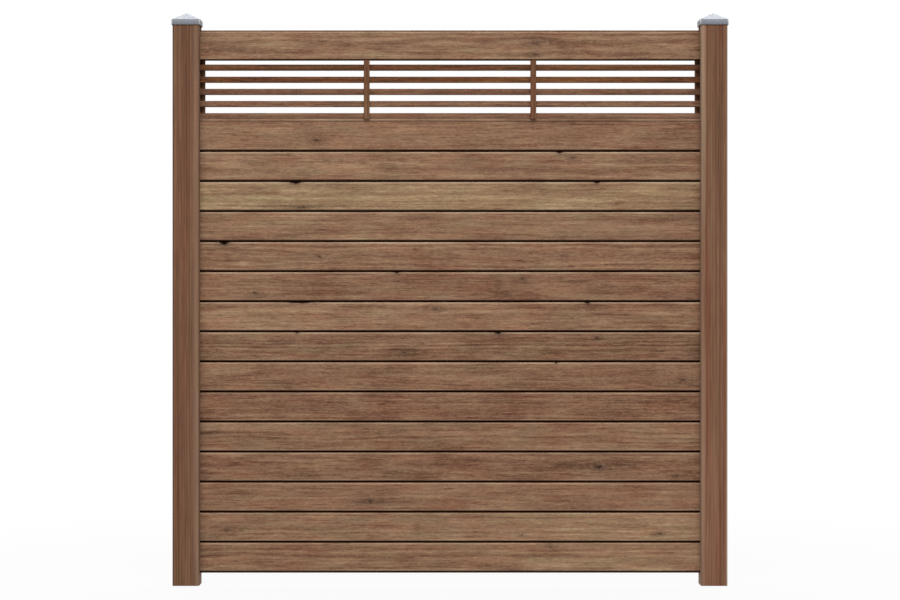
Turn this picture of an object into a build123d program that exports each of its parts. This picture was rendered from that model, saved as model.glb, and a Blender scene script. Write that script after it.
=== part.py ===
from build123d import *
import math
import os

# Fence section of tongue-and-groove boards between two channelled posts, with a slatted insert
# below the top board. Millimetres. X runs along the fence, Y from front to back and Z up.
# The origin lies on the ground, midway between the posts and in the middle of their depth.

# Posts: square timber with a full-height channel in the side that faces the panel.
post_width = 90.0
post_length = 1916.0
post_edge_radius = 6.0
clear_width = 1696.0
channel_depth = 25.0
channel_side_clearance = 1.0

# Boards: a tongue on the top edge, a groove in the bottom edge, eased arrises on both faces. The top
# board's tongue takes no board above it and is trimmed.
board_thickness = 28.0
board_face_height = 96.5
board_edge_chamfer = 4.0
board_end_clearance = 3.0
shadow_gap = 5.5
tongue_thickness = 9.0
tongue_height = 10.5
top_tongue_height = 5.5
tongue_tip_chamfer = 1.0
tongue_side_clearance = 0.4

# Rows of boards, counted from the ground: as many as fit below the post caps' rims.
ground_clearance = 40.0
insert_rows = 2

# Slatted insert: slats flush with the boards' backs, uprights nailed on in front of them and end
# battens behind them, against the posts.
slat_count = 5
slat_height = 20.5
slat_thickness = 16.0
slat_edge_radius = 2.0
top_slat_gap = 13.5
upright_count = 2
upright_width = 20.0
upright_edge_radius = 2.0
end_batten_width = 15.0
end_batten_thickness = 12.0
nail_wire_width = 1.6
nail_wire_thickness = 1.4
nail_head_width = 3.2
nail_head_height = 0.8
nail_point_length = 2.0
nail_point_cover = 4.0

# Stop blocks: short filler pieces at the foot of each channel that carry the panel.
block_side_clearance = 0.5
block_screw_length = 55.0

# Wood screws of the stop blocks and of the top board.
screw_head_diameter = 9.0
screw_head_height = 3.0
screw_shank_diameter = 5.0
screw_point_length = 6.0
top_screw_bite = 19.0

# Post caps: pressed sheet metal, a low pyramid with a turned-down rim.
cap_sheet = 1.2
cap_side_clearance = 2.3
cap_roof_clearance = 0.2
cap_rim_height = 19.0
cap_pyramid_height = 25.0
cap_inner_radius = 2.8
cap_tip_width = 3.0
cap_screw_length = 16.0
cap_screw_head_diameter = 8.0
cap_screw_head_height = 2.4
cap_screw_shank_diameter = 4.0
cap_screw_point_length = 4.0

# Sizes that follow from the ones above.
post_half = post_width / 2
clear_half = clear_width / 2
post_centre = clear_half + post_half
channel_width = board_thickness + 2 * channel_side_clearance
channel_floor = clear_half + channel_depth
board_half = board_thickness / 2
board_length = 2 * (channel_floor - board_end_clearance)
board_end = board_length / 2
cap_half = post_half + cap_side_clearance + cap_sheet
cap_slope = cap_pyramid_height / (cap_half - cap_tip_width / 2)
cap_roof_offset = cap_sheet * math.hypot(1, cap_slope) - (cap_half - post_half) * cap_slope
cap_eave = post_length + cap_roof_clearance + cap_roof_offset
row_pitch = board_face_height + shadow_gap
groove_depth = tongue_height - shadow_gap
row_room = cap_eave - cap_rim_height - ground_clearance - top_tongue_height
row_count = math.floor(row_room / row_pitch)
rows_below_insert = row_count - insert_rows - 1
insert_bottom = ground_clearance + rows_below_insert * row_pitch + tongue_height
top_board_bottom = ground_clearance + (rows_below_insert + insert_rows) * row_pitch + shadow_gap
insert_height = top_board_bottom - insert_bottom
slat_pitch = (insert_height - top_slat_gap - slat_height) / (slat_count - 1)
upright_thickness = board_thickness - slat_thickness
slat_front = board_half - slat_thickness
bay_width = clear_width / (upright_count + 1)
upright_nail_length = slat_thickness - nail_head_height + upright_thickness - nail_point_cover
batten_nail_length = end_batten_thickness - nail_head_height + slat_thickness - nail_point_cover


def make_screw(head_diameter, head_height, shank_diameter, length, point_length):
    """A round-headed screw: the head's seat is at the origin and the shank runs down from it."""
    head_radius = head_diameter / 2
    shank_radius = shank_diameter / 2
    half_section = Polyline(
        (0, head_height),
        (head_radius, head_height),
        (head_radius, 0),
        (shank_radius, 0),
        (shank_radius, point_length - length),
        (0, -length),
        close=True,
    )
    return revolve(Plane.XZ * make_face(half_section), axis=Axis.Z)


def make_nail(length):
    """A finishing nail of flat wire with a T-shaped head, its head's seat at the origin."""
    wire_half = nail_wire_width / 2
    head_half = nail_head_width / 2
    outline = Polyline(
        (-head_half, nail_head_height),
        (-head_half, 0),
        (-wire_half, 0),
        (-wire_half, nail_point_length - length),
        (0, -length),
        (wire_half, nail_point_length - length),
        (wire_half, 0),
        (head_half, 0),
        (head_half, nail_head_height),
        close=True,
    )
    return extrude(Plane.YZ * make_face(outline), amount=nail_wire_thickness / 2, both=True)


def driven(fastener, seat, head_direction):
    """Places a fastener with its seat at a point and its head facing a level direction."""
    return Plane(origin=seat, x_dir=(0, 0, 1), z_dir=head_direction) * fastener


def make_post(side):
    """One post, standing on the ground, with its channel open towards the panel."""
    section = RectangleRounded(post_width, post_width, post_edge_radius)
    channel = Pos(-side * (post_half - channel_depth / 2), 0) * Rectangle(channel_depth, channel_width)
    return Pos(side * post_centre, 0, 0) * extrude(section - channel, amount=post_length)


def make_board(bottom, tongue_reach):
    """One tongue-and-groove board with its lower edge at the given height."""
    tongue_half = tongue_thickness / 2
    groove_half = tongue_half + tongue_side_clearance
    flat_half = board_half - board_edge_chamfer
    tongue_top = board_face_height + tongue_reach
    front_half = [
        (-groove_half, groove_depth),
        (-groove_half, 0),
        (-flat_half, 0),
        (-board_half, board_edge_chamfer),
        (-board_half, board_face_height - board_edge_chamfer),
        (-flat_half, board_face_height),
        (-tongue_half, board_face_height),
        (-tongue_half, tongue_top - tongue_tip_chamfer),
        (tongue_tip_chamfer - tongue_half, tongue_top),
    ]
    back_half = [(-y, z) for y, z in reversed(front_half)]
    outline = make_face(Polyline(*front_half, *back_half, close=True))
    section = Plane.YZ.offset(-board_end) * Pos(0, bottom) * outline
    return extrude(section, amount=board_length)


def make_starter_strip():
    """The loose tongue that fills the lowest board's groove and stands on the stop blocks."""
    section = Pos(0, ground_clearance + tongue_height / 2) * Rectangle(tongue_thickness, tongue_height)
    return extrude(Plane.YZ.offset(-board_end) * section, amount=board_length)


def make_stop_block(side):
    """The filler piece at the foot of one channel, flush with the post's inner face."""
    width = channel_width - 2 * block_side_clearance
    section = Pos(side * (clear_half + channel_depth / 2), 0) * Rectangle(channel_depth, width)
    return extrude(section, amount=ground_clearance)


def make_slat(bottom):
    """One slat of the insert, as long as the boards and flush with their back faces."""
    section = RectangleRounded(slat_thickness, slat_height, slat_edge_radius)
    middle = Pos(slat_front + slat_thickness / 2, bottom + slat_height / 2)
    return extrude(Plane.YZ.offset(-board_end) * middle * section, amount=board_length)


def make_insert_bar(centre, front, width, thickness):
    """An upright or an end batten, as high as the insert, with its front face at the given depth."""
    section = RectangleRounded(width, thickness, upright_edge_radius)
    middle = Pos(centre, front + thickness / 2, insert_bottom)
    return middle * extrude(section, amount=insert_height)


def pyramid_form(width, corner_radius, rim_bottom, eave):
    """A solid square form: straight rim with rounded corners, then four slopes to a small blunt tip."""
    peak = eave + (width - cap_tip_width) / 2 * cap_slope
    taper = math.degrees(math.atan(1 / cap_slope))
    rim = Pos(0, 0, rim_bottom) * extrude(Rectangle(width, width), amount=eave - rim_bottom)
    slopes = Pos(0, 0, eave) * extrude(Rectangle(width, width), amount=peak - eave, taper=taper)
    rounded = extrude(RectangleRounded(width, width, corner_radius), amount=peak)
    return (rim + slopes) & rounded


def make_cap(side):
    """One post cap: its slopes rest on the post's top edges and its rim hangs around the post."""
    outer_width = 2 * cap_half
    inner_width = outer_width - 2 * cap_sheet
    inner_eave = cap_eave + cap_sheet * cap_slope - cap_sheet * math.hypot(1, cap_slope)
    rim_bottom = cap_eave - cap_rim_height
    shell = pyramid_form(outer_width, cap_inner_radius + cap_sheet, rim_bottom, cap_eave)
    hollow = pyramid_form(inner_width, cap_inner_radius, rim_bottom, inner_eave)
    return Pos(side * post_centre, 0, 0) * (shell - hollow)


sides = {"left": -1, "right": 1}
nodes = {}

# Posts, stop blocks and caps.
for name, side in sides.items():
    nodes[f"{name}_post"] = make_post(side)
    nodes[f"{name}_stop_block"] = make_stop_block(side)
    nodes[f"{name}_post_cap"] = make_cap(side)

# Boards below the insert, the loose tongue under them and the board above the insert.
nodes["starter_strip"] = make_starter_strip()
for row in range(rows_below_insert):
    row_bottom = ground_clearance + shadow_gap + row * row_pitch
    nodes[f"board_{row + 1:02d}"] = make_board(row_bottom, tongue_height)
nodes["top_board"] = make_board(top_board_bottom, top_tongue_height)

# Slats from the bottom up, the uprights in front of them and the end battens behind them.
slat_names = [f"slat_{number + 1}" for number in range(slat_count)]
slat_bottoms = [insert_bottom + number * slat_pitch for number in range(slat_count)]
for slat_name, slat_bottom in zip(slat_names, slat_bottoms):
    nodes[slat_name] = make_slat(slat_bottom)
upright_nail = make_nail(upright_nail_length)
batten_nail = make_nail(batten_nail_length)
upright_front = slat_front - upright_thickness
batten_back = board_half + end_batten_thickness
nailings = {}
for number in range(upright_count):
    bar_name = f"upright_{number + 1}"
    bar_centre = (number + 1) * bay_width - clear_half
    nodes[bar_name] = make_insert_bar(bar_centre, upright_front, upright_width, upright_thickness)
    nailings[bar_name] = (upright_nail, bar_centre, board_half)
for name, side in sides.items():
    bar_name = f"{name}_end_batten"
    bar_centre = side * (clear_half - end_batten_width / 2)
    nodes[bar_name] = make_insert_bar(bar_centre, board_half, end_batten_width, end_batten_thickness)
    nailings[bar_name] = (batten_nail, bar_centre, batten_back)

# Nails, driven from behind where each slat crosses a bar, with their heads flush.
slat_nails = []
for slat_name, slat_bottom in zip(slat_names, slat_bottoms):
    for bar_name, (nail, bar_centre, back) in nailings.items():
        seat = (bar_centre, back - nail_head_height, slat_bottom + slat_height / 2)
        placed_nail = driven(nail, seat, (0, 1, 0))
        nodes[slat_name] -= placed_nail
        nodes[bar_name] -= placed_nail
        slat_nails.append(placed_nail)
nodes["slat_nails"] = Compound(slat_nails)

# Screws of the stop blocks, the top board and the caps.
block_screw = make_screw(
    screw_head_diameter, screw_head_height, screw_shank_diameter, block_screw_length, screw_point_length
)
top_screw_length = post_half - screw_head_height - board_half + top_screw_bite
top_screw = make_screw(
    screw_head_diameter, screw_head_height, screw_shank_diameter, top_screw_length, screw_point_length
)
cap_screw = make_screw(
    cap_screw_head_diameter,
    cap_screw_head_height,
    cap_screw_shank_diameter,
    cap_screw_length,
    cap_screw_point_length,
)
block_screws = []
top_screws = []
cap_screws = []
for name, side in sides.items():
    block_seat = (side * (clear_half + screw_head_height), 0, ground_clearance / 2)
    placed_block_screw = driven(block_screw, block_seat, (-side, 0, 0))
    nodes[f"{name}_stop_block"] -= placed_block_screw
    nodes[f"{name}_post"] -= placed_block_screw
    block_screws.append(placed_block_screw)

    top_seat = (
        side * (clear_half + board_end) / 2,
        post_half - screw_head_height,
        top_board_bottom + board_face_height / 2,
    )
    placed_top_screw = driven(top_screw, top_seat, (0, 1, 0))
    nodes["top_board"] -= placed_top_screw
    nodes[f"{name}_post"] -= placed_top_screw
    top_screws.append(placed_top_screw)

    cap_seat = (side * (post_centre + cap_half), 0, cap_eave - cap_rim_height / 2)
    placed_cap_screw = driven(cap_screw, cap_seat, (side, 0, 0))
    nodes[f"{name}_post_cap"] -= placed_cap_screw
    nodes[f"{name}_post"] -= placed_cap_screw
    cap_screws.append(placed_cap_screw)
nodes["stop_block_screws"] = Compound(block_screws)
nodes["top_board_screws"] = Compound(top_screws)
nodes["cap_screws"] = Compound(cap_screws)

os.makedirs("parts", exist_ok=True)
for node_name, solid in nodes.items():
    export_step(solid, f"parts/{node_name}.step")
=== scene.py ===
import math

import bmesh
import bpy
from mathutils import Matrix, Vector


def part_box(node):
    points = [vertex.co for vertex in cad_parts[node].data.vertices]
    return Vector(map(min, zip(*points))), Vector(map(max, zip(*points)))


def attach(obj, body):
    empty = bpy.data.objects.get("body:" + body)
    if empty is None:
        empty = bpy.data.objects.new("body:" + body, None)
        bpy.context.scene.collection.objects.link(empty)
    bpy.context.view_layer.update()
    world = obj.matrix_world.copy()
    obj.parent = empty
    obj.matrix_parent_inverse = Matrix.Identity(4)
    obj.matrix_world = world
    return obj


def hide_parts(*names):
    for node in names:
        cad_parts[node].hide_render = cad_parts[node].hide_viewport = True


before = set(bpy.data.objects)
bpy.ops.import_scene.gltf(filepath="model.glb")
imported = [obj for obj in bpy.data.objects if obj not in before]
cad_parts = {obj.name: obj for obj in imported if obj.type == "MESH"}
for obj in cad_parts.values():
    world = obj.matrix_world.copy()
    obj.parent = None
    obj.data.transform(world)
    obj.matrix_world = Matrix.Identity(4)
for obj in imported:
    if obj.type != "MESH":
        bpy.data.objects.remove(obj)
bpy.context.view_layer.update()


# Posts: square softwood, planed, with rounded arrises and a channel milled into the side that takes
# the boards. The timber is brown impregnated: its straight grain stands upright in darker, redder
# and greener stripes.
mm = 0.001
post_arris_radius = 6 * mm
channel_width = 30 * mm
channel_depth = 25 * mm
channel_lip_radius = 1 * mm
lit_arris_fade = 9 * mm
arris_middle = 0.9
post_contrast = 0.55
post_stretch = 8.0
channel_shade = 0.9
wood_shadow = "#240c02"
wood_pit = "#140c07"
wood_stops = {0.0: "#3f271a", 0.28: "#6b4833", 0.5: "#86644c", 0.74: "#9c7c5f", 1.0: "#b99c79"}
wood_red = "#ffd9d3"
wood_olive = "#deffee"
wood_grey = "#cfd1da"
# The pale colour of painted highlights on arrises.
wood_highlight = "#bfa68c"
knot_brown = "#2e1b10"
scar_pale = "#bda181"


def paint(code):
    """Turns an sRGB hex colour into linear red, green, blue and alpha."""
    parts = [int(code[place:place + 2], 16) / 255 for place in (1, 3, 5)]
    linear = [part / 12.92 if part <= 0.04045 else ((part + 0.055) / 1.055) ** 2.4 for part in parts]
    return (*linear, 1.0)


def add(tree, kind, inputs=None, **settings):
    """Adds a node, sets it up, feeds its inputs from sockets or plain values, returns its output."""
    node = tree.nodes.new(kind)
    for name, value in settings.items():
        setattr(node, name, value)
    for key, value in (inputs or {}).items():
        if isinstance(key, int):
            socket = node.inputs[key]
        else:
            socket = next(item for item in node.inputs if item.enabled and item.name == key)
        if isinstance(value, bpy.types.NodeSocket):
            tree.links.new(value, socket)
        else:
            socket.default_value = value
    return next((item for item in node.outputs if item.enabled), None)


def new_group(name, kind, inputs, outputs):
    """Starts a node group with named inputs and outputs, and returns it with its input sockets."""
    group = bpy.data.node_groups.new(name, kind)
    for direction, sockets in (("INPUT", inputs), ("OUTPUT", outputs)):
        for label, kind_of_value in sockets.items():
            socket_type = "NodeSocket" + kind_of_value
            group.interface.new_socket(name=label, in_out=direction, socket_type=socket_type)
    return group, group.nodes.new("NodeGroupInput").outputs


# A knot or stain: an uneven ellipse on the wood that darkens it, and round which the grain bends.
wood_mark, given = new_group(
    "knot or stain", "ShaderNodeTree",
    {"Place": "Vector", "Grain": "Vector", "Stain": "Float", "Middle": "Vector", "Reach": "Vector",
     "Bend": "Float", "Depth": "Float", "Hardness": "Float"},
    {"Grain": "Vector", "Stain": "Float"},
)
noise_middle = (0.5, 0.5, 0.5)
edge_grit = 1 / 7
edge_wobble = 1.1
core_rim = 1.2
core_full = 0.5
offset = add(wood_mark, "ShaderNodeVectorMath", {0: given["Place"], 1: given["Middle"]}, operation="SUBTRACT")
scaled = add(wood_mark, "ShaderNodeVectorMath", {0: offset, 1: given["Reach"]}, operation="DIVIDE")
grit = add(wood_mark, "ShaderNodeTexNoise", {"Vector": given["Place"], "Scale": edge_grit, "Detail": 2.0})
grit = add(wood_mark, "ShaderNodeVectorMath", {0: grit.node.outputs["Color"], 1: noise_middle},
           operation="SUBTRACT")
grit = add(wood_mark, "ShaderNodeVectorMath", {0: grit, "Scale": edge_wobble}, operation="SCALE")
uneven = add(wood_mark, "ShaderNodeVectorMath", {0: scaled, 1: grit}, operation="ADD")
uneven = add(wood_mark, "ShaderNodeVectorMath", {0: uneven, 1: (1, 1, 0)}, operation="MULTIPLY")
distance = add(wood_mark, "ShaderNodeVectorMath", {0: uneven}, operation="LENGTH").node.outputs["Value"]
core = add(wood_mark, "ShaderNodeMapRange", {"Value": distance, "From Min": core_rim, "From Max": core_full},
           interpolation_type="SMOOTHSTEP")
near = add(wood_mark, "ShaderNodeVectorMath", {0: scaled, 1: (0.5, 0.5, 0)}, operation="MULTIPLY")
near = add(wood_mark, "ShaderNodeVectorMath", {0: near, 1: near}, operation="DOT_PRODUCT")
near = add(wood_mark, "ShaderNodeMath", {0: 1 / math.e, 1: near.node.outputs["Value"]}, operation="POWER")
shade = add(wood_mark, "ShaderNodeMix", {"Factor": given["Hardness"], "A": near, "B": core})
stain = add(wood_mark, "ShaderNodeMath", {0: shade, 1: given["Depth"], 2: given["Stain"]},
            operation="MULTIPLY_ADD")
pull = add(wood_mark, "ShaderNodeMath", {0: near, 1: given["Bend"]}, operation="MULTIPLY")
pull = add(wood_mark, "ShaderNodeVectorMath", {0: offset, "Scale": pull}, operation="SCALE")
pull = add(wood_mark, "ShaderNodeVectorMath", {0: pull, 1: (0, 1, 0)}, operation="MULTIPLY")
bent = add(wood_mark, "ShaderNodeVectorMath", {0: given["Grain"], 1: pull}, operation="SUBTRACT")
add(wood_mark, "NodeGroupOutput", {"Grain": bent, "Stain": stain})

# Sawn softwood, in millimetres: growth rings round the pith, fibres, streaks and patches along the
# grain, redder and greener bands, marks, painted shade in joints and recesses, and painted highlights
# on arrises. Real fibres and pores are finer: they are drawn as coarse as they need to show. Each
# layer has length, width, detail and weight.
softwood, given = new_group(
    "softwood figure", "ShaderNodeTree",
    {"Grain": "Vector", "Stain": "Float", "Stretch": "Vector", "Pith": "Vector", "Seed": "Vector",
     "Tone": "Float", "Drift": "Float", "Contrast": "Float", "Red": "Float", "Olive": "Float",
     "Grey": "Float", "Glaze": "Color"},
    {"Colour": "Color", "Roughness": "Float", "Specular": "Float", "Height": "Float"},
)
ring_width = 4.5
ring_weight = 0.36
pith_wander = 22.0
wander_size = (1 / 480, 1 / 120, 1 / 120)
grain_layers = {
    "patches": (190, 50, 3.0, 0.48),
    "hairlines": (260, 4.5, 1.0, 0.36),
    "streaks": (80, 8, 2.0, 0.38),
    "fibres": (26, 4.5, 2.0, 0.44),
    "pores": (10, 3.2, 1.0, 0.42),
}
layer_relief = 0.5
fleck_size = (1 / 60, 1 / 2.8, 1 / 2.8)
fleck_range = (0.62, 0.76)
fleck_depth = 0.3
tint_size = (1 / 150, 1 / 36, 1 / 36)
tint_range = (0.44, 0.66)
tints = {"Red": (wood_red, 710.0), "Olive": (wood_olive, 1930.0), "Grey": (wood_grey, 3370.0)}
patch_swing = 0.14
highlight_range = (0.3, 0.9)
pore_swing = 0.2
soak_range = (1.25, 0.75)
pit_from = 0.7
painted_shade_cover = 0.96
wood_roughness = (0.78, 0.6)
wood_specular = 0.25
long_grain = add(softwood, "ShaderNodeVectorMath", {0: given["Grain"], 1: given["Stretch"]},
                 operation="DIVIDE")
long_grain = add(softwood, "ShaderNodeVectorMath", {0: long_grain, 1: given["Seed"]}, operation="ADD")
wander = add(softwood, "ShaderNodeVectorMath", {0: long_grain, 1: wander_size}, operation="MULTIPLY")
wander = add(softwood, "ShaderNodeTexNoise", {"Vector": wander, "Scale": 1.0, "Detail": 2.0})
wander = add(softwood, "ShaderNodeVectorMath", {0: wander.node.outputs["Color"], 1: noise_middle},
             operation="SUBTRACT")
wander = add(softwood, "ShaderNodeVectorMath", {0: wander, "Scale": pith_wander}, operation="SCALE")
from_pith = add(softwood, "ShaderNodeVectorMath", {0: given["Grain"], 1: given["Pith"]}, operation="SUBTRACT")
from_pith = add(softwood, "ShaderNodeVectorMath", {0: from_pith, 1: wander}, operation="ADD")
from_pith = add(softwood, "ShaderNodeVectorMath", {0: from_pith, 1: (0, 1, 1)}, operation="MULTIPLY")
radius = add(softwood, "ShaderNodeVectorMath", {0: from_pith}, operation="LENGTH").node.outputs["Value"]
rings = add(softwood, "ShaderNodeTexNoise", {"W": radius, "Scale": 1 / ring_width, "Detail": 1.5},
            noise_dimensions="1D")
height = add(softwood, "ShaderNodeMath", {0: rings, 1: 0.5}, operation="SUBTRACT")
tone = add(softwood, "ShaderNodeMath", {0: height, 1: ring_weight}, operation="MULTIPLY")
layers = {}
for layer_name, (length, width, detail, weight) in grain_layers.items():
    layer = add(softwood, "ShaderNodeVectorMath", {0: long_grain, 1: (1 / length, 1 / width, 1 / width)},
                operation="MULTIPLY")
    layer = add(softwood, "ShaderNodeTexNoise", {"Vector": layer, "Scale": 1.0, "Detail": detail})
    layer = add(softwood, "ShaderNodeMath", {0: layer, 1: 0.5}, operation="SUBTRACT")
    layers[layer_name] = layer
    tone = add(softwood, "ShaderNodeMath", {0: layer, 1: weight, 2: tone}, operation="MULTIPLY_ADD")
    height = add(softwood, "ShaderNodeMath", {0: layer, 1: layer_relief, 2: height}, operation="MULTIPLY_ADD")
flecks = add(softwood, "ShaderNodeVectorMath", {0: long_grain, 1: fleck_size}, operation="MULTIPLY")
flecks = add(softwood, "ShaderNodeTexNoise", {"Vector": flecks, "Scale": 1.0, "Detail": 1.0})
flecks = add(softwood, "ShaderNodeMapRange", {
    "Value": flecks, "From Min": fleck_range[0], "From Max": fleck_range[1], "To Max": -fleck_depth,
})
tone = add(softwood, "ShaderNodeMath", {0: tone, 1: flecks}, operation="ADD")
tone = add(softwood, "ShaderNodeMath", {0: tone, 1: given["Contrast"], 2: given["Tone"]},
           operation="MULTIPLY_ADD")
along = add(softwood, "ShaderNodeSeparateXYZ", {0: given["Grain"]})
along = add(softwood, "ShaderNodeMath", {0: along, 1: mm}, operation="MULTIPLY")
tone = add(softwood, "ShaderNodeMath", {0: along, 1: given["Drift"], 2: tone}, operation="MULTIPLY_ADD")
ramp = add(softwood, "ShaderNodeValToRGB", {"Fac": tone})
stops = ramp.node.color_ramp.elements
while len(stops) < len(wood_stops):
    stops.new(0.5)
for stop, (position, code) in zip(stops, wood_stops.items()):
    stop.position = position
    stop.color = paint(code)
colour = add(softwood, "ShaderNodeMix", {"Factor": 1.0, "A": ramp, "B": given["Glaze"]},
             data_type="RGBA", blend_type="MULTIPLY")
for tint_name, (tint, shift) in tints.items():
    band = add(softwood, "ShaderNodeVectorMath", {0: long_grain, 1: (shift, shift, shift)}, operation="ADD")
    band = add(softwood, "ShaderNodeVectorMath", {0: band, 1: tint_size}, operation="MULTIPLY")
    band = add(softwood, "ShaderNodeTexNoise", {"Vector": band, "Scale": 1.0, "Detail": 2.0})
    band = add(softwood, "ShaderNodeMapRange", {
        "Value": band, "From Min": tint_range[0], "From Max": tint_range[1],
    })
    band = add(softwood, "ShaderNodeMath", {0: band, 1: given[tint_name]}, operation="MULTIPLY",
               use_clamp=True)
    colour = add(softwood, "ShaderNodeMix", {"Factor": band, "A": colour, "B": paint(tint)},
                 data_type="RGBA", blend_type="MULTIPLY")
# Painted highlight on arrises and chamfers, varied in strength by the patches.
lit_arris = add(softwood, "ShaderNodeAttribute", attribute_name="arris").node.outputs["Fac"]
highlight_strength = add(softwood, "ShaderNodeMapRange", {
    "Value": layers["patches"], "From Min": -patch_swing, "From Max": patch_swing,
    "To Min": highlight_range[0], "To Max": highlight_range[1],
})
lit_arris = add(softwood, "ShaderNodeMath", {0: lit_arris, 1: highlight_strength}, operation="MULTIPLY")
soaked = add(softwood, "ShaderNodeMapRange", {
    "Value": layers["pores"], "From Min": -pore_swing, "From Max": pore_swing,
    "To Min": soak_range[0], "To Max": soak_range[1],
})
stain = add(softwood, "ShaderNodeMath", {0: given["Stain"], 1: soaked}, operation="MULTIPLY")
dark = add(softwood, "ShaderNodeMath", {0: stain, 1: 1.0}, operation="MULTIPLY", use_clamp=True)
pale = add(softwood, "ShaderNodeMath", {0: given["Stain"], 1: -1.0}, operation="MULTIPLY", use_clamp=True)
# Painted shade in joints, channels, corners and on lower chamfers, mixed towards a near-black colour.
joint = add(softwood, "ShaderNodeAttribute", attribute_name="joint").node.outputs["Fac"]
joint = add(softwood, "ShaderNodeMath", {0: joint, 1: painted_shade_cover}, operation="MULTIPLY")
pit = add(softwood, "ShaderNodeMath", {0: stain, 1: pit_from}, operation="SUBTRACT", use_clamp=True)
covers = ((lit_arris, wood_highlight), (dark, knot_brown), (pale, scar_pale), (pit, wood_pit), (joint, wood_shadow))
for cover, code in covers:
    colour = add(softwood, "ShaderNodeMix", {"Factor": cover, "A": colour, "B": paint(code)},
                 data_type="RGBA")
# Specular drops in the painted shade and in the stains' pits.
joint = add(softwood, "ShaderNodeMath", {0: joint, 1: pit}, operation="MAXIMUM")
roughness = add(softwood, "ShaderNodeMapRange", {
    "Value": tone, "To Min": wood_roughness[0], "To Max": wood_roughness[1],
})
specular = add(softwood, "ShaderNodeMapRange", {"Value": joint, "To Min": wood_specular, "To Max": 0.0})
add(softwood, "NodeGroupOutput", {
    "Colour": colour, "Roughness": roughness, "Specular": specular, "Height": height,
})

# Impregnated softwood: planed spruce or pine, soaked brown, so that the grain stays in sight under
# a matt surface. The marks are knots and stains: where they lie along and across the grain from the
# timber's origin, their half length and half height, all in millimetres, and bend, depth, hardness.
level_grain = Matrix(((1, 0, 0), (0, 0, 1), (0, -1, 0)))
upright_grain = Matrix(((0, 0, 1), (1, 0, 0), (0, 1, 0)))
fibre_relief = 0.25 * mm
fibre_bump = 0.7
log_spacing = Vector((631, 97, 53))


def impregnated_softwood(name, origin, turn, pith, seed, tone, drift=0.0, contrast=1.0, red=0.3, olive=0.2,
                         grey=0.2, glaze="#ffffff", stretch=1.0, marks=()):
    """The material of one timber, with its own cut from the log, tone and knots."""
    material = bpy.data.materials.new(f"impregnated softwood {name}")
    material.use_nodes = True
    tree = material.node_tree
    place = add(tree, "ShaderNodeMapping", {
        "Vector": add(tree, "ShaderNodeTexCoord").node.outputs["Object"],
        "Location": turn @ origin / -mm,
        "Rotation": turn.to_euler(),
        "Scale": (1 / mm, 1 / mm, 1 / mm),
    })
    grain = place
    stain = 0.0
    for along, across, half_length, half_height, bend, depth, hardness in marks:
        grain = add(tree, "ShaderNodeGroup", {
            "Place": place, "Grain": grain, "Stain": stain, "Middle": (along, across, 0),
            "Reach": (half_length, half_height, 1), "Bend": bend, "Depth": depth, "Hardness": hardness,
        }, node_tree=wood_mark)
        stain = grain.node.outputs["Stain"]
    figure = add(tree, "ShaderNodeGroup", {
        "Grain": grain, "Stain": stain, "Stretch": (stretch, 1, 1), "Pith": (0, *pith),
        "Seed": log_spacing * seed, "Tone": tone, "Drift": drift, "Contrast": contrast,
        "Red": red, "Olive": olive, "Grey": grey, "Glaze": paint(glaze),
    }, node_tree=softwood).node.outputs
    shader = tree.nodes["Principled BSDF"]
    tree.links.new(figure["Colour"], shader.inputs["Base Color"])
    tree.links.new(figure["Roughness"], shader.inputs["Roughness"])
    tree.links.new(figure["Specular"], shader.inputs["Specular IOR Level"])
    bump = add(tree, "ShaderNodeBump", {
        "Height": figure["Height"], "Strength": fibre_bump, "Distance": fibre_relief,
    })
    tree.links.new(bump, shader.inputs["Normal"])
    return material


# The planing machine: an outline is swept along the timber, which may bow a little towards front and
# back as it dries.
timber_tree, given = new_group(
    "milled timber", "GeometryNodeTree",
    {"Outline": "Geometry", "Start": "Vector", "End": "Vector", "Stations": "Int", "Bow": "Float",
     "Seed": "Float", "Timber": "Material"},
    {"Timber": "Geometry"},
)
bows_per_metre = 1.2
hard_edge = math.radians(35)
loop = add(timber_tree, "GeometryNodeMeshToCurve", {"Mesh": given["Outline"]})
line = add(timber_tree, "GeometryNodeCurvePrimitiveLine", {"Start": given["Start"], "End": given["End"]})
line = add(timber_tree, "GeometryNodeResampleCurve", {"Curve": line, "Count": given["Stations"]})
line = add(timber_tree, "GeometryNodeSetCurveNormal", {"Curve": line}, mode="Z_UP")
timber = add(timber_tree, "GeometryNodeCurveToMesh", {
    "Curve": line, "Profile Curve": loop, "Fill Caps": True,
})
along = add(timber_tree, "ShaderNodeSeparateXYZ", {0: add(timber_tree, "GeometryNodeInputPosition")})
along = add(timber_tree, "ShaderNodeMath", {0: along, 1: bows_per_metre, 2: given["Seed"]},
            operation="MULTIPLY_ADD")
bow = add(timber_tree, "ShaderNodeTexNoise", {"W": along, "Scale": 1.0, "Detail": 0.0}, noise_dimensions="1D")
bow = add(timber_tree, "ShaderNodeMapRange", {"Value": bow, "To Min": -1.0, "To Max": 1.0})
bow = add(timber_tree, "ShaderNodeMath", {0: bow, 1: given["Bow"]}, operation="MULTIPLY")
bow = add(timber_tree, "ShaderNodeCombineXYZ", {"Y": bow})
timber = add(timber_tree, "GeometryNodeSetPosition", {"Geometry": timber, "Offset": bow})
timber = add(timber_tree, "GeometryNodeSetShadeSmooth", {"Geometry": timber, "Shade Smooth": True},
             domain="FACE")
edge = add(timber_tree, "FunctionNodeCompare", {
    "A": add(timber_tree, "GeometryNodeInputMeshEdgeAngle"), "B": hard_edge,
}, operation="GREATER_THAN")
timber = add(timber_tree, "GeometryNodeSetShadeSmooth", {
    "Geometry": timber, "Selection": edge, "Shade Smooth": False,
}, domain="EDGE")
timber = add(timber_tree, "GeometryNodeRealizeInstances", {"Geometry": timber})
timber = add(timber_tree, "GeometryNodeSetMaterial", {"Geometry": timber, "Material": given["Timber"]})
add(timber_tree, "NodeGroupOutput", {"Timber": timber})
arc_steps = 4


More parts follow.
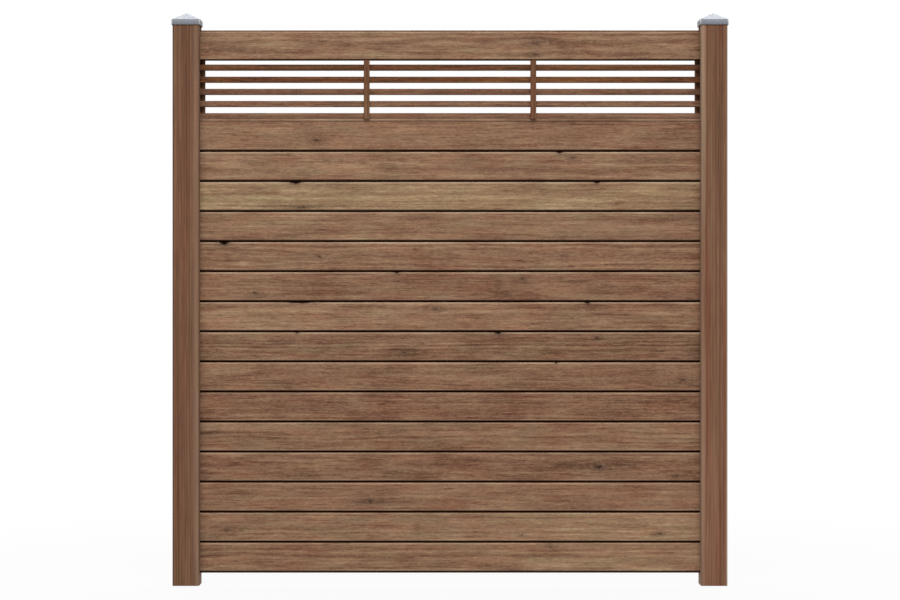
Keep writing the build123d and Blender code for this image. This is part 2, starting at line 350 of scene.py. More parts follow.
def built(piece, tree, values):
    """Runs a node tree on a piece with named inputs, and leaves its result as the piece's own mesh."""
    modifier = piece.modifiers.new(tree.name, "NODES")
    modifier.node_group = tree
    for socket in tree.interface.items_tree:
        if socket.in_out == "INPUT" and socket.name in values:
            modifier[socket.identifier] = values[socket.name]
    graph = bpy.context.evaluated_depsgraph_get()
    start = piece.data
    piece.data = bpy.data.meshes.new_from_object(piece.evaluated_get(graph), depsgraph=graph)
    piece.data.name = piece.name
    piece.modifiers.remove(modifier)
    bpy.data.meshes.remove(start)
    return piece


def milled(name, corners, shares, start, end, material, stations=2, bow=0.0, seed=0.0):
    """Cuts one timber from its section: corners are places with a radius, and shares says how much
    painted shade and how much painted highlight a point of the section gets."""
    level = abs(end.x - start.x) > abs(end.z - start.z)
    side = -1 if level else 1
    points = []
    for index, (corner, radius) in enumerate(corners):
        corner = Vector(corner)
        back = (Vector(corners[index - 1][0]) - corner).normalized()
        ahead = (Vector(corners[(index + 1) % len(corners)][0]) - corner).normalized()
        half_angle = back.angle(ahead) / 2
        middle = corner + (back + ahead).normalized() * radius / math.sin(half_angle)
        first = corner + back * radius / math.tan(half_angle) - middle
        last = corner + ahead * radius / math.tan(half_angle) - middle
        for step in range(arc_steps + 1 if radius else 1):
            spoke = first.lerp(last, step / arc_steps)
            points.append(middle + spoke.normalized() * radius)
    outline = bpy.data.meshes.new(name)
    edges = [(spot, (spot + 1) % len(points)) for spot in range(len(points))]
    outline.from_pydata([(side * point.x, side * point.y, 0) for point in points], edges, [])
    for place, share in enumerate(("joint", "arris")):
        values = [min(max(shares(*point)[place], 0), 1) for point in points]
        outline.attributes.new(share, "FLOAT", "POINT").data.foreach_set("value", values)
    piece = bpy.data.objects.new(name, outline)
    bpy.context.scene.collection.objects.link(piece)
    return built(piece, timber_tree, {
        "Start": start, "End": end, "Stations": stations, "Bow": bow, "Seed": seed, "Timber": material,
    })


# Each post's arrises by the channel get a painted highlight over a given width and strength; the outer arris
# gets painted shade on the left post and a painted highlight on the right one.
posts = {
    "left": {"side": -1, "seed": 3, "pith": (-118, 30), "tone": 0.29, "red": 0.4, "olive": 0.4,
             "lit_arris": 15 * mm, "highlight_strength": 0.2, "outer_arris_shade_light": (0.34, 0)},
    "right": {"side": 1, "seed": 8, "pith": (96, 44), "tone": 0.34, "red": 0.8, "olive": 0.2,
              "lit_arris": 9 * mm, "highlight_strength": 0.45, "outer_arris_shade_light": (0, 0.6)},
}
for name, post in posts.items():
    low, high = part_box(f"{name}_post")
    half = (high.y - low.y) / 2
    centre = Vector(((low.x + high.x) / 2, 0, low.z))
    lit_arris_end = half - post["lit_arris"]
    channel_floor = half - channel_depth
    section = [
        ((-half, -half), post_arris_radius),
        ((lit_arris_end - lit_arris_fade, -half), 0),
        ((lit_arris_end, -half), 0),
        ((half, -half), post_arris_radius),
        ((half, -channel_width / 2), channel_lip_radius),
        ((channel_floor, -channel_width / 2), 0),
        ((channel_floor, channel_width / 2), 0),
        ((half, channel_width / 2), channel_lip_radius),
        ((half, half), post_arris_radius),
        ((lit_arris_end, half), 0),
        ((lit_arris_end - lit_arris_fade, half), 0),
        ((-half, half), post_arris_radius),
    ]
    if post["side"] > 0:
        section = [((-across, back), radius) for (across, back), radius in reversed(section)]

    def post_shares(across, back):
        """Painted shade darkens the channel inwards, painted highlights lighten the arrises and face beside
        its mouth, and the outer arrises get painted shade or a painted highlight.
        """
        from_mouth = half + across * post["side"]
        if abs(back) < channel_width / 2 + channel_lip_radius / 2:
            return channel_shade * from_mouth / channel_depth, 0
        if min(from_mouth - half, abs(back)) > half - arris_middle * post_arris_radius:
            return post["outer_arris_shade_light"]
        return 0, post["highlight_strength"] if from_mouth < post["lit_arris"] + lit_arris_fade / 2 else 0

    wood = impregnated_softwood(
        f"{name} post", centre, upright_grain, post["pith"], post["seed"], post["tone"],
        contrast=post_contrast, red=post["red"], olive=post["olive"], stretch=post_stretch,
    )
    piece = milled(f"{name}_post_wood", section, post_shares, centre, Vector((centre.x, 0, high.z)), wood)
    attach(piece, "root")
    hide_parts(f"{name}_post")


# Stop blocks: short softwood fillers at the foot of each channel, cut to the channel's width and
# screwed to its floor. They carry the boards and are brown like the posts.
block_arris_radius = 1.5 * mm
block_pith = (40, 60)
block_tone = 0.4
block_stretch = 4.0
block_seed = 21


def box_section(low_across, high_across, low_up, high_up, radius):
    """The section of a plain rectangular timber with eased arrises."""
    return [
        ((low_across, low_up), radius),
        ((high_across, low_up), radius),
        ((high_across, high_up), radius),
        ((low_across, high_up), radius),
    ]


def plain_shares(across, up):
    """A plain timber has no joints, and no arris that is worn pale."""
    return 0, 0


for number, name in enumerate(posts):
    low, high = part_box(f"{name}_stop_block")
    centre = Vector(((low.x + high.x) / 2, 0, low.z))
    across, deep = (high.x - low.x) / 2, (high.y - low.y) / 2
    section = box_section(-across, across, -deep, deep, block_arris_radius)
    wood = impregnated_softwood(
        f"{name} stop block", centre, upright_grain, block_pith, block_seed + number, block_tone,
        stretch=block_stretch,
    )
    top = Vector((centre.x, 0, high.z))
    piece = milled(f"{name}_stop_block_wood", section, plain_shares, centre, top, wood)
    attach(piece, "root")
    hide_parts(f"{name}_stop_block")


# Starter strip: the loose tongue in the lowest board's groove, a ripped batten of the boards' wood.
# It stands on the stop blocks, and only a line of it shows under the panel, darkened by painted shade.
strip_arris_radius = 1 * mm
strip_pith = (-30, 25)
strip_seed = 31
strip_tone = 0.4
strip_shade = 0.6
low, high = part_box("starter_strip")
strip_half = (high.y - low.y) / 2
strip_height = high.z - low.z


def strip_shares(across, up):
    """Painted shade darkens the strip throughout, most up in the groove."""
    return strip_shade + up / strip_height, 0


section = box_section(-strip_half, strip_half, 0, strip_height, strip_arris_radius)
wood = impregnated_softwood(
    "starter strip", Vector((0, 0, low.z)), level_grain, strip_pith, strip_seed, strip_tone,
)
start, end = Vector((low.x, 0, low.z)), Vector((high.x, 0, low.z))
piece = milled("starter_strip_wood", section, strip_shares, start, end, wood)
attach(piece, "root")
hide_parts("starter_strip")


# Boards: planed tongue-and-groove softwood with chamfered arrises, stacked loose in the channels so
# that a shadow gap stays between rows. Each is cut from another log, so tone and knots differ.
board_chamfer = 4 * mm
board_arris_radius = 1.2 * mm
tongue_half = 4.5 * mm
board_face_height = 96.5 * mm
tongue_tip = 1 * mm
groove_half = 4.9 * mm
groove_depth = 5 * mm
board_bow = 0.5 * mm
highlight_reach = 3 * mm
# Painted highlights on the boards' upper and lower arrises, from the lowest row to the top one; lower_shade
# is painted shade on the lower chamfers.
upper_light = (0.25, 0.95)
lower_light = (0.6, 0.1)
lower_shade = 1.1
arris_depth = 0.3
arris_light = 0.6
past_chamfer = 1.1
board_stations = 60
board_seed = 40

# Marks are in millimetres from the board's middle and foot: knots (x, up, size), stains (x, up, reach,
# rise, depth) and notches in the upper arris (x, reach, rise, depth).
board_rows = {
    "board_01": {"pith": (30, -46), "tone": 0.54, "drift": 0.09, "red": 0.3, "olive": 0.3,
                 "knots": [(341, 85, 6)], "stains": []},
    "board_02": {"pith": (66, -38), "tone": 0.60, "drift": 0.07, "red": 0.3, "olive": 0.35,
                 "knots": [(-753, 38, 9), (244, 21, 4), (711, 25, 7)],
                 "stains": [(-109, 45, 10, 20, 0.25), (-800, 15, 60, 6, 0.3)]},
    "board_03": {"pith": (20, -70), "tone": 0.50, "drift": 0.01, "red": 0.42, "olive": 0.1,
                 "knots": [(-272, 34, 6)], "stains": [(-690, 52, 46, 16, 0.22), (-250, 34, 90, 9, 0.22)]},
    "board_04": {"pith": (58, -52), "tone": 0.45, "drift": -0.04, "red": 0.32, "olive": 0.15,
                 "knots": [(507, 48, 11), (770, 19, 7)],
                 "stains": [(-486, 19, 42, 12, 0.32), (-194, 25, 30, 12, 0.35), (-830, 20, 22, 18, 0.3),
                            (440, 50, 110, 8, 0.22)]},
    "board_05": {"pith": (80, -40), "tone": 0.48, "drift": 0.05, "red": 0.35, "olive": 0.3,
                 "knots": [], "stains": [(-790, 63, 130, 1.6, 0.5), (-760, 82, 180, 11, -0.22)]},
    "board_06": {"pith": (-20, -44), "tone": 0.405, "drift": -0.01, "red": 0.38, "olive": 0.1,
                 "knots": [], "stains": [(-420, 60, 70, 12, 0.16)]},
    "board_07": {"pith": (44, -60), "tone": 0.48, "drift": -0.01, "red": 0.3, "olive": 0.25,
                 "knots": [(790, 38, 8)], "stains": [],
                 "notches": [(360, 10, 5, 0.6)]},
    "board_08": {"pith": (10, -36), "tone": 0.42, "drift": -0.05, "red": 0.25, "olive": 0.4,
                 "knots": [(-155, 27, 7), (500, 79, 6)],
                 "stains": [(-577, 66, 60, 9, 0.3), (162, 86, 26, 9, 0.3),
                            (850, 27, 26, 14, 0.35)],
                 "notches": [(-519, 8, 5, 0.7), (162, 14, 7, 0.7)]},
    "board_09": {"pith": (90, -50), "tone": 0.55, "drift": -0.1, "red": 0.45, "olive": 0.25,
                 "knots": [(-51, 75, 6)],
                 "stains": [(520, 29, 24, 8, -0.25)],
                 "notches": [(-506, 46, 4, 1.0), (465, 14, 5, 0.9)]},
    "board_10": {"pith": (30, -80), "tone": 0.455, "drift": -0.03, "red": 0.35, "olive": 0.2,
                 "knots": [(-658, 25, 9), (247, 76, 8), (192, 24, 4)],
                 "stains": [(162, 57, 12, 26, 0.3)],
                 "notches": [(-181, 12, 5, 0.7)]},
    "board_11": {"pith": (52, -42), "tone": 0.50, "drift": -0.03, "red": 0.35, "olive": 0.2,
                 "knots": [(-444, 47, 6), (-116, 73, 4)],
                 "stains": [(-700, 24, 16, 9, -0.3)],
                 "notches": [(-766, 20, 9, 1.2)]},
    "board_12": {"pith": (0, -58), "tone": 0.53, "drift": -0.01, "red": 0.25, "olive": 0.35,
                 "knots": [], "stains": [(565, 41, 70, 14, -0.18), (747, 71, 60, 4, 0.35)]},
    "board_13": {"pith": (70, -48), "tone": 0.69, "drift": -0.08, "red": 0.1, "olive": 0.2,
                 "glaze": "#fafff9",
                 "knots": [], "stains": [(-505, 14, 150, 4, 0.42), (-500, 9, 26, 4, 0.4)],
                 "notches": [(-525, 20, 7, 1.2), (497, 14, 6, 0.9)]},
    "board_14": {"pith": (36, -54), "tone": 0.54, "drift": -0.02, "red": 0.3, "olive": 0.3,
                 "knots": [(-548, 88, 4), (416, 75, 9)], "stains": [(-640, 30, 90, 5, 0.3)],
                 "notches": [(370, 14, 5, 0.8)]},
    "board_15": {"pith": (24, -64), "tone": 0.51, "drift": -0.07, "red": 0.3, "olive": 0.15,
                 "knots": [(-453, 35, 8)], "stains": [(-480, 62, 24, 8, 0.25), (-486, 86, 26, 5, 0.25)]},
    "top_board": {"pith": (44, -46), "tone": 0.52, "drift": -0.08, "red": 0.3, "olive": 0.25,
                  "knots": [(292, 57, 9), (286, 18, 6)],
                  "stains": [(-780, 34, 110, 10, 0.32), (860, 4, 200, 4, 0.2)]},
}
knot_halo = {"reach": 3.2, "rise": 1.2, "bend": 0.6, "depth": 0.2, "hardness": 0.0}
knot_core = {"reach": 1.1, "rise": 0.55, "bend": 0.0, "depth": 0.52, "hardness": 0.4}
stain_bend = 0.3
stain_hardness = 0.35
notch_mouth = {"shift": 0.0, "reach": 0.9, "rise": 0.7, "depth": 1.0, "hardness": 0.6}
notch_tip = {"shift": 0.15, "reach": 0.4, "rise": 1.1, "depth": 0.6, "hardness": 0.5}

# How much painted shade the chamfers and tongues get, and how much painted highlight the arrises get,
# at a board's edges: under a next board, or open.
covered_board = {"chamfer_shade": 0.0, "root_shade": 1.0, "tip_shade": 1.0, "tip_light": 0.0}
open_boards = {
    "board_15": {"chamfer_shade": 0.22, "root_shade": 0.35, "tip_shade": 0.0, "tip_light": 0.55,
                 "top_light": 0.0},
    "top_board": {"chamfer_shade": 0.0, "root_shade": 0.2, "tip_shade": 0.2, "tip_light": 0.0,
                  "top_light": 0.25, "foot_light": 0.0, "foot_shade": 2.0},
}
for number, (name, board) in enumerate(board_rows.items()):
    low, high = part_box(name)
    half = (high.y - low.y) / 2
    shoulder = board_face_height
    tongue_height = high.z - low.z - shoulder
    edges = open_boards.get(name, covered_board)
    height_share = number / (len(board_rows) - 1)
    top_light = edges.get("top_light", upper_light[0] + (upper_light[1] - upper_light[0]) * height_share)
    foot_light = edges.get("foot_light", lower_light[0] + (lower_light[1] - lower_light[0]) * height_share)
    foot_shade = edges.get("foot_shade", lower_shade)
    back_half = [
        ((groove_half, groove_depth), 0),
        ((groove_half, 0), 0),
        ((half - board_chamfer, 0), board_arris_radius),
        ((half - board_chamfer / 2, board_chamfer / 2), 0),
        ((half, board_chamfer), board_arris_radius),
        ((half, board_chamfer + highlight_reach), 0),
        ((half, shoulder - board_chamfer - highlight_reach), 0),
        ((half, shoulder - board_chamfer), board_arris_radius),
        ((half - board_chamfer, shoulder), board_arris_radius),
        ((tongue_half, shoulder), 0),
        ((tongue_half, shoulder + tongue_height - tongue_tip), 0),
        ((tongue_half - tongue_tip, shoulder + tongue_height), 0),
    ]
    section = back_half + [((-back, up), radius) for (back, up), radius in reversed(back_half)]

    def board_shares(back, up):
        """Painted shade darkens the lower chamfers and the tongues between rows, and painted highlights
        lighten the arrises beside them.
        """
        depth = (half - abs(back)) / board_chamfer
        on_face = min(up, shoulder - up) - board_chamfer > highlight_reach / 2
        if up < shoulder / 2:
            return foot_shade * depth, 0 if on_face or depth > arris_depth else foot_light
        if depth > past_chamfer and up < shoulder + tongue_height / 2:
            return edges["root_shade"] * (depth - 1), 0
        if depth > past_chamfer:
            return edges["tip_shade"] * (depth - 1), edges["tip_light"]
        return depth * edges["chamfer_shade"], 0 if on_face else (arris_light + depth) * top_light

    marks = []
    for form in (knot_halo, knot_core):
        for x, up, size in board["knots"]:
            marks.append((x, up, size * form["reach"], size * form["rise"],
                          form["bend"], form["depth"], form["hardness"]))
    for x, up, reach, rise, depth in board["stains"]:
        marks.append((x, up, reach, rise, stain_bend, depth, stain_hardness))
    for x, reach, rise, depth in board.get("notches", ()):
        for form in (notch_mouth, notch_tip):
            marks.append((x + reach * form["shift"], shoulder / mm, reach * form["reach"],
                          rise * form["rise"], 0.0, depth * form["depth"], form["hardness"]))
    wood = impregnated_softwood(
        name, Vector((0, 0, low.z)), level_grain, board["pith"], board_seed + number, board["tone"],
        drift=board["drift"], red=board["red"], olive=board["olive"],
        glaze=board.get("glaze", "#ffffff"), marks=marks,
    )
    start, end = Vector((low.x, 0, low.z)), Vector((high.x, 0, low.z))
    piece = milled(f"{name}_wood", section, board_shares, start, end, wood, board_stations, board_bow, number)
    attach(piece, "root")
    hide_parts(name)


# Slats: thin softwood strips with eased arrises, as long as the boards, that leave light gaps below
# the top board. Their tone steps darker towards the top board and the two upper ones are glazed
# warmer: painted shadow of the top board.
slat_arris_radius = 2 * mm
slat_contrast = 0.8
slat_pith = Vector((60, -50))
slat_pith_step = Vector((-20, 0))
slat_seed = 70
# Tone and glaze paint the top board's shadow onto the upper slats.
slats = {
    "slat_1": {"tone": 0.40, "red": 0.3, "olive": 0.2, "glaze": "#ffffff"},
    "slat_2": {"tone": 0.385, "red": 0.3, "olive": 0.15, "glaze": "#ffffff"},
    "slat_3": {"tone": 0.31, "red": 0.4, "olive": 0.1, "glaze": "#ffffff"},
    "slat_4": {"tone": 0.25, "red": 0.3, "olive": 0.2, "glaze": "#ffe8b0"},
    "slat_5": {"tone": 0.23, "red": 0.5, "olive": 0.1, "glaze": "#ffefc3"},
}
for number, (name, slat) in enumerate(slats.items()):
    low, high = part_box(name)
    section = box_section(low.y, high.y, 0, high.z - low.z, slat_arris_radius)
    wood = impregnated_softwood(
        name, Vector((0, 0, low.z)), level_grain, slat_pith + slat_pith_step * number, slat_seed + number,
        slat["tone"], contrast=slat_contrast, red=slat["red"], olive=slat["olive"], glaze=slat["glaze"],
    )
    start, end = Vector((low.x, 0, low.z)), Vector((high.x, 0, low.z))
    piece = milled(f"{name}_wood", section, plain_shares, start, end, wood)
    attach(piece, "root")
    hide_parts(name)


# Uprights and end battens: short softwood bars, nailed to the slats from behind. The uprights stand
# in front of the slats at the panel's thirds, the battens behind them, against the posts, where painted
# shade darkens the corner and a painted highlight lightens the inner edge. The battens' tops lap the
# top board a little.
bar_arris_radius = 2 * mm
bar_glaze = "#fff7e2"
bar_pith = (50, 30)
bar_tone = 0.28
bar_contrast = 0.7
bar_stretch = 1.5
bar_seed = 80
batten_lap = 6 * mm
corner_shade = 0.55
inner_light = 0.4
inner_edge = -0.8
bar_posts = {"upright_1": 0, "upright_2": 0, "left_end_batten": -1, "right_end_batten": 1}
for number, (name, post_side) in enumerate(bar_posts.items()):
    low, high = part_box(name)
    centre = Vector(((low.x + high.x) / 2, 0, low.z))
    across = (high.x - low.x) / 2
    section = box_section(-across, across, low.y, high.y, bar_arris_radius)

    def bar_shares(x, back):
        """A batten gets painted shade towards its post and a painted highlight on its inner edge."""
        outward = post_side * x / across
        return corner_shade * outward, inner_light if outward < inner_edge else 0

    wood = impregnated_softwood(
        name, centre, upright_grain, bar_pith, bar_seed + number, bar_tone,
        contrast=bar_contrast, glaze=bar_glaze, stretch=bar_stretch,
    )
    top = Vector((centre.x, 0, high.z + batten_lap * abs(post_side)))
    piece = milled(f"{name}_wood", section, bar_shares, centre, top, wood)
    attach(piece, "root")
    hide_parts(name)


# Slat nails: finishing nails of plain steel wire, driven flush from behind. Their own shape is right,
# so they only get their finish: zinc plating dulled by weather.
zinc_dull = "#8b8d90"
zinc_bright = "#c3c6ca"
zinc_range = (0.3, 0.7)
satin_spread = 0.06
fastener_roughness = 0.42
fastener_speckle = 1.5


def plated_steel(name, dark, bright, roughness, speckle):
    """Zinc on steel: a grey metal in uneven patches, satin, with a faint grain; speckle in millimetres."""
    material = bpy.data.materials.new(name)
    material.use_nodes = True
    tree = material.node_tree
    place = add(tree, "ShaderNodeTexCoord").node.outputs["Object"]
    patches = add(tree, "ShaderNodeTexNoise", {"Vector": place, "Scale": 1 / (speckle * mm), "Detail": 3.0})
    patches = add(tree, "ShaderNodeMapRange", {
        "Value": patches, "From Min": zinc_range[0], "From Max": zinc_range[1],
    })
    colour = add(tree, "ShaderNodeMix", {"Factor": patches, "A": paint(dark), "B": paint(bright)},
                 data_type="RGBA")
    satin = add(tree, "ShaderNodeMapRange", {
        "Value": patches, "To Min": roughness + satin_spread, "To Max": roughness - satin_spread,
    })
    shader = tree.nodes["Principled BSDF"]
    shader.inputs["Metallic"].default_value = 1.0
    tree.links.new(colour, shader.inputs["Base Color"])
    tree.links.new(satin, shader.inputs["Roughness"])
    return material


fastener_zinc = plated_steel(
    "zinc-plated steel", zinc_dull, zinc_bright, fastener_roughness, fastener_speckle,
)
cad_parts["slat_nails"].data.materials.clear()
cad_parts["slat_nails"].data.materials.append(fastener_zinc)


# Screws: zinc-plated wood screws with a cross recess. The stop blocks' screws sit flush in the blocks'
# inner sides, the top board's come through the channel's rear cheek from behind.
screw_head_radius = 4.5 * mm
screw_head_height = 3 * mm
screw_shank_radius = 2.5 * mm
screw_point = 6 * mm
screw_dome = 0.6 * mm
screw_sides = 20
dome_steps = 5
weld = 0.01 * mm
recess_share = 0.55
recess_width = 1.1 * mm
recess_depth = 1.4 * mm
screw_tree, given = new_group(
    "driven screws", "GeometryNodeTree",
    {"Seats": "Geometry", "Screw": "Object", "Recess Length": "Float", "Recess Width": "Float",
     "Recess Depth": "Float", "Head Top": "Float", "Steel": "Material"},
    {"Screws": "Geometry"},
)
shape = add(screw_tree, "GeometryNodeObjectInfo", {"Object": given["Screw"]}).node.outputs["Geometry"]
slot_deep = add(screw_tree, "ShaderNodeMath", {0: given["Recess Depth"], 1: 2.0}, operation="MULTIPLY")
at_top = add(screw_tree, "ShaderNodeCombineXYZ", {"Z": given["Head Top"]})
recess_sides = (given["Recess Length"], given["Recess Width"])
for slot_x, slot_y in (recess_sides, recess_sides[::-1]):
    size = add(screw_tree, "ShaderNodeCombineXYZ", {"X": slot_x, "Y": slot_y, "Z": slot_deep})
    slot_box = add(screw_tree, "GeometryNodeMeshCube", {"Size": size})
    slot_box = add(screw_tree, "GeometryNodeTransform", {"Geometry": slot_box, "Translation": at_top})
    shape = add(screw_tree, "GeometryNodeMeshBoolean", {"Mesh 1": shape, "Mesh 2": slot_box},
                operation="DIFFERENCE", solver="EXACT")
facing = add(screw_tree, "GeometryNodeInputNamedAttribute", {"Name": "facing"}, data_type="FLOAT_VECTOR")
turned = add(screw_tree, "FunctionNodeAlignRotationToVector", {"Vector": facing}, axis="Z")
screws = add(screw_tree, "GeometryNodeInstanceOnPoints", {
    "Points": given["Seats"], "Instance": shape, "Rotation": turned,
})
screws = add(screw_tree, "GeometryNodeRealizeInstances", {"Geometry": screws})
screws = add(screw_tree, "GeometryNodeSetMaterial", {"Geometry": screws, "Material": given["Steel"]})
add(screw_tree, "NodeGroupOutput", {"Screws": screws})


def drive_screws(name, node, seats, head_radius, head_height, shank_radius, length, point, dome):
    """Turns one screw, cuts its recess and drives a copy into each seat, given with its facing."""
    profile = [(0, -length), (shank_radius, point - length), (shank_radius, 0), (head_radius, 0)]
    for step in range(dome_steps + 1):
        lean = math.pi / 2 * step / dome_steps
        profile.append((head_radius * math.cos(lean), head_height - dome + dome * math.sin(lean)))
    turning = bmesh.new()
    chain = [turning.verts.new((x, 0, z)) for x, z in profile]
    edges = [turning.edges.new(pair) for pair in zip(chain, chain[1:])]
    bmesh.ops.spin(turning, geom=chain + edges, axis=(0, 0, 1), cent=(0, 0, 0), steps=screw_sides,
                   angle=math.tau, use_duplicate=False)
    bmesh.ops.remove_doubles(turning, verts=turning.verts, dist=weld)
    bmesh.ops.recalc_face_normals(turning, faces=turning.faces)
    blank = bpy.data.meshes.new(f"{name} blank")
    turning.to_mesh(blank)
    turning.free()
    screw = bpy.data.objects.new(f"{name}_blank", blank)
    points = bpy.data.meshes.new(name)
    points.from_pydata([seat for seat, direction in seats], [], [])
    aims = [part for seat, direction in seats for part in direction]
    points.attributes.new("facing", "FLOAT_VECTOR", "POINT").data.foreach_set("vector", aims)
    group = bpy.data.objects.new(name, points)
    bpy.context.scene.collection.objects.link(screw)
    bpy.context.scene.collection.objects.link(group)
    built(group, screw_tree, {
        "Screw": screw, "Recess Length": 2 * recess_share * head_radius, "Recess Width": recess_width,
        "Recess Depth": recess_depth, "Head Top": head_height, "Steel": fastener_zinc,
    })
    bpy.data.objects.remove(screw)
    bpy.data.meshes.remove(blank)
    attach(group, "root")
    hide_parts(node)
    return group


low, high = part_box("stop_block_screws")
head_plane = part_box("right_stop_block")[0].x
drive_screws(
    "stop_block_screws_zinc", "stop_block_screws",
    [((side * (head_plane + screw_head_height), 0, (low.z + high.z) / 2), (-side, 0, 0)) for side in (-1, 1)],
    screw_head_radius, screw_head_height, screw_shank_radius, high.x - head_plane - screw_head_height,
    screw_point, screw_dome,
)
low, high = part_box("top_board_screws")
drive_screws(
    "top_board_screws_zinc", "top_board_screws",
    [((side * (high.x - screw_head_radius), high.y - screw_head_height, (low.z + high.z) / 2), (0, 1, 0))
     for side in (-1, 1)],
    screw_head_radius, screw_head_height, screw_shank_radius, high.y - low.y - screw_head_height,
    screw_point, screw_dome,
)


# Post caps: sheet steel pressed into a low pyramid with a turned-down rim, zinc coated, dull grey
# from the zinc's bloom, with painted highlights on the eave's bend, the corners and the tip. Each sits
# on its post and is held by one screw.
cap_sheet = 1.2 * mm
cap_rim_height = 19 * mm
cap_corner_radius = 4 * mm
cap_tip_half = 1.5 * mm
cap_fold_radius = 1.5 * mm
cap_corner_steps = 5
cap_fold_steps = 4
bright_steps = (2, 3)
cap_tip_drop = 0.2 * mm
sharpest_corner = 0.9
rim_reach = 1.2
slope_reach = 2
slope_middle = 0.5
fold_bright = 0.6
tip_bright = 0.3
cap_roughness = 0.4
cap_speckle = 7
cap_grey = "#8a8d94"
cap_spangle = "#979aa1"
cap_glint = "#d2d5dc"
cap_edge = "#8c8f96"
bare_zinc = 0.2


def cap_ring(form, half, radius, height, middle):
    """One level of the cap's form: a square with rounded corners, as a ring of points."""
    ring = []
    radius = min(radius, half * sharpest_corner)
    for quarter in range(4):
        for step in range(cap_corner_steps + 1):
            turn = math.pi / 2 * (quarter + step / cap_corner_steps)
            corner_x = (half - radius) * (1 if quarter in (0, 3) else -1)
            corner_y = (half - radius) * (1 if quarter in (0, 1) else -1)
            ring.append(form.verts.new((
                middle.x + corner_x + radius * math.cos(turn),
                middle.y + corner_y + radius * math.sin(turn),
                height,
            )))
    return ring


zinc_sheet = plated_steel("zinc-coated steel sheet", cap_grey, cap_spangle, cap_roughness, cap_speckle)
tree = zinc_sheet.node_tree
sheet_inputs = tree.nodes["Principled BSDF"].inputs
plain_colour = sheet_inputs["Base Color"].links[0].from_socket
# Painted highlights: the rounded corners, two steps of the eave's bend and the tip are mixed towards a pale
# colour.
glint_share = add(tree, "ShaderNodeAttribute", attribute_name="fold").node.outputs["Fac"]
glint_colour = add(tree, "ShaderNodeMix", {
    "Factor": glint_share, "A": plain_colour, "B": paint(cap_glint),
}, data_type="RGBA")
tree.links.new(glint_colour, sheet_inputs["Base Color"])
sheet_inputs["Specular Tint"].default_value = paint(cap_edge)
sheet_inputs["Metallic"].default_value = bare_zinc
for name in posts:
    low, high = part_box(f"{name}_post_cap")
    middle = Vector(((low.x + high.x) / 2, 0, 0))
    half = (high.y - low.y) / 2
    eave = low.z + cap_rim_height
    slope = math.atan2(high.z - eave, half - cap_tip_half)
    fold_reach = cap_fold_radius * math.tan((math.pi / 2 - slope) / 2)
    form = bmesh.new()
    fold = form.verts.layers.float.new("fold")
    levels = [(half, low.z, 0.0), (half, eave - fold_reach * rim_reach, 0.0)]
    for step in range(cap_fold_steps + 1):
        lean = (math.pi / 2 - slope) * step / cap_fold_steps
        inset = cap_fold_radius * (1 - math.cos(lean))
        rise = cap_fold_radius * math.sin(lean) - fold_reach
        levels.append((half - inset, eave + rise, fold_bright if step in bright_steps else 0.0))
    for inset in (fold_reach * slope_reach, half * slope_middle):
        levels.append((half - inset, eave + inset * math.tan(slope), 0.0))
    levels.append((cap_tip_half * 2, high.z - cap_tip_half * math.tan(slope), 0.0))
    levels.append((cap_tip_half, high.z - cap_tip_drop, tip_bright))
    rings = []
    for ring_half, height, share in levels:
        ring = cap_ring(form, ring_half, cap_corner_radius, height, middle)
        for place, point in enumerate(ring):
            at_corner = place % (cap_corner_steps + 1) not in (0, cap_corner_steps)
            point[fold] = max(share, 1.0 if at_corner else 0.0)
        rings.append(ring)
    for lower, upper in zip(rings, rings[1:]):
        for place in range(len(lower)):
            ahead = (place + 1) % len(lower)
            form.faces.new((lower[place], lower[ahead], upper[ahead], upper[place]))
    form.faces.new(rings[-1])
    bmesh.ops.recalc_face_normals(form, faces=form.faces)
    for face in form.faces:
        face.smooth = True
    sheet = bpy.data.meshes.new(f"{name}_post_cap_zinc")
    form.to_mesh(sheet)
    form.free()
    piece = bpy.data.objects.new(f"{name}_post_cap_zinc", sheet)
    bpy.context.scene.collection.objects.link(piece)
    piece.data.materials.append(zinc_sheet)
    wall = piece.modifiers.new("sheet", "SOLIDIFY")
    wall.thickness = cap_sheet
    wall.offset = -1.0
    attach(piece, "root")
    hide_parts(f"{name}_post_cap")


# Cap screws: small domed screws with a cross recess, one through the outer side of each cap's rim
# into the post. They are zinc plated like the others.
cap_screw_head_radius = 4 * mm
cap_screw_head_height = 2.4 * mm
cap_screw_shank_radius = 2 * mm
cap_screw_point = 4 * mm
cap_screw_dome = 1.6 * mm
cap_screw_length = 16 * mm
low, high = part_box("cap_screws")
cap_screw_seat = high.x - cap_screw_head_height
drive_screws(
    "cap_screws_zinc", "cap_screws",
    [((side * cap_screw_seat, 0, (low.z + high.z) / 2), (side, 0, 0)) for side in (-1, 1)],
    cap_screw_head_radius, cap_screw_head_height, cap_screw_shank_radius, cap_screw_length,
    cap_screw_point, cap_screw_dome,
)


# Studio: a pale floor that runs into a white background, soft light from above in front and behind,
# and a camera square to the panel at half its height.
floor_half = 30.0
floor_white = "#b8b8b8"
floor_glow_near = 0.93
floor_glow_far = 1.0
floor_near = 1.2
floor_far = 3.5
ambient = 0.42
camera_distance = 8.0
camera_height = 0.966
camera_lens = 94.2
lamps = {
    "front_left": {"strength": 1.17, "angle": 40, "elevation": 45, "heading": -15},
    "front_right": {"strength": 1.17, "angle": 40, "elevation": 45, "heading": 15},
    "back_left": {"strength": 1.25, "angle": 40, "elevation": 48, "heading": -150},
    "back_right": {"strength": 1.25, "angle": 40, "elevation": 48, "heading": 150},
}
scene = bpy.context.scene
scene.view_settings.view_transform = "Standard"


def seen_directly(tree):
    """Is 1 for what the camera sees, also mirrored or through glass, and 0 for light on the panel."""
    rays = add(tree, "ShaderNodeLightPath").node.outputs
    seen = add(tree, "ShaderNodeMath", {0: rays["Is Camera Ray"], 1: rays["Is Glossy Ray"]},
               operation="MAXIMUM")
    return add(tree, "ShaderNodeMath", {0: seen, 1: rays["Is Transmission Ray"]}, operation="MAXIMUM")


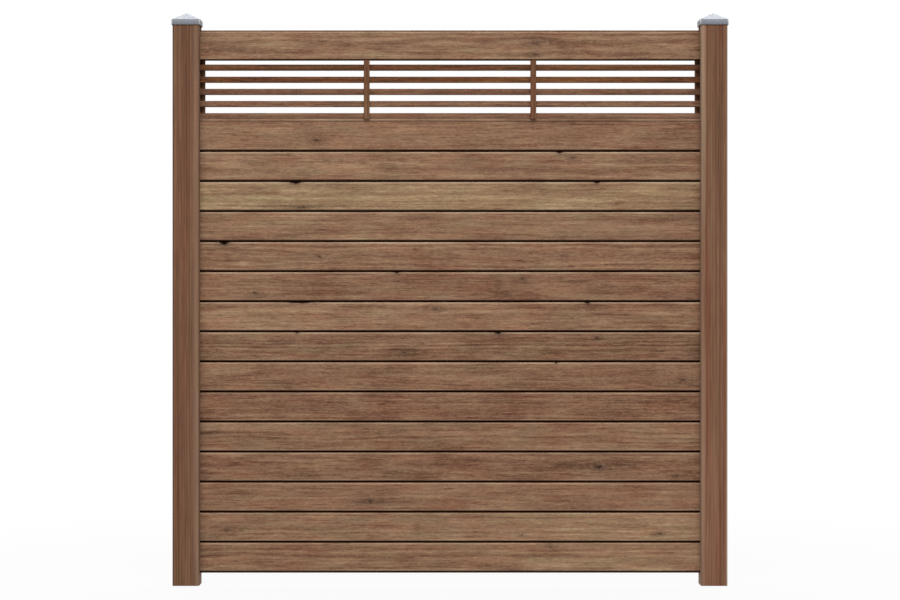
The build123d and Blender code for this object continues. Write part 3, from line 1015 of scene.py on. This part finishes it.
floor_mesh = bpy.data.meshes.new("studio_floor")
floor_corners = [(floor_half * x, floor_half * y, 0) for x, y in ((-1, -1), (1, -1), (1, 1), (-1, 1))]
floor_mesh.from_pydata(floor_corners, [], [(0, 1, 2, 3)])
floor = bpy.data.objects.new("studio_floor", floor_mesh)
scene.collection.objects.link(floor)
floor_paint = bpy.data.materials.new("white floor paint")
floor_paint.use_nodes = True
tree = floor_paint.node_tree
floor_shader = tree.nodes["Principled BSDF"]
floor_shader.inputs["Base Color"].default_value = paint(floor_white)
floor_shader.inputs["Roughness"].default_value = 1.0
floor_shader.inputs["Specular IOR Level"].default_value = 0.0
away = add(tree, "ShaderNodeTexCoord").node.outputs["Object"]
away = add(tree, "ShaderNodeVectorMath", {0: away}, operation="LENGTH").node.outputs["Value"]
away = add(tree, "ShaderNodeMapRange", {
    "Value": away, "From Min": floor_near, "From Max": floor_far,
    "To Min": floor_glow_near, "To Max": floor_glow_far,
}, interpolation_type="SMOOTHSTEP")
share = add(tree, "ShaderNodeMath", {0: seen_directly(tree), 1: away}, operation="MULTIPLY")
glow = add(tree, "ShaderNodeEmission", {"Strength": 1.0})
mixed = add(tree, "ShaderNodeMixShader", {0: share, 1: floor_shader.outputs[0], 2: glow})
tree.links.new(mixed, tree.nodes["Material Output"].inputs["Surface"])
floor.data.materials.append(floor_paint)

world = bpy.data.worlds.new("white studio")
scene.world = world
world.use_nodes = True
tree = world.node_tree
strength = add(tree, "ShaderNodeMath", {0: seen_directly(tree), 1: 1 - ambient, 2: ambient},
               operation="MULTIPLY_ADD")
backdrop = tree.nodes["Background"]
backdrop.inputs["Color"].default_value = (1, 1, 1, 1)
tree.links.new(strength, backdrop.inputs["Strength"])

for name, lamp in lamps.items():
    sun = bpy.data.lights.new(f"{name}_light", "SUN")
    sun.energy = lamp["strength"]
    sun.angle = math.radians(lamp["angle"])
    holder = bpy.data.objects.new(f"{name}_light", sun)
    holder.rotation_euler = (math.radians(90 - lamp["elevation"]), 0, math.radians(lamp["heading"]))
    scene.collection.objects.link(holder)

camera = bpy.data.objects.new("camera", bpy.data.cameras.new("camera"))
camera.data.lens = camera_lens
camera.location = (0, -camera_distance, camera_height)
camera.rotation_euler = (math.radians(90), 0, 0)
scene.collection.objects.link(camera)
scene.camera = camera
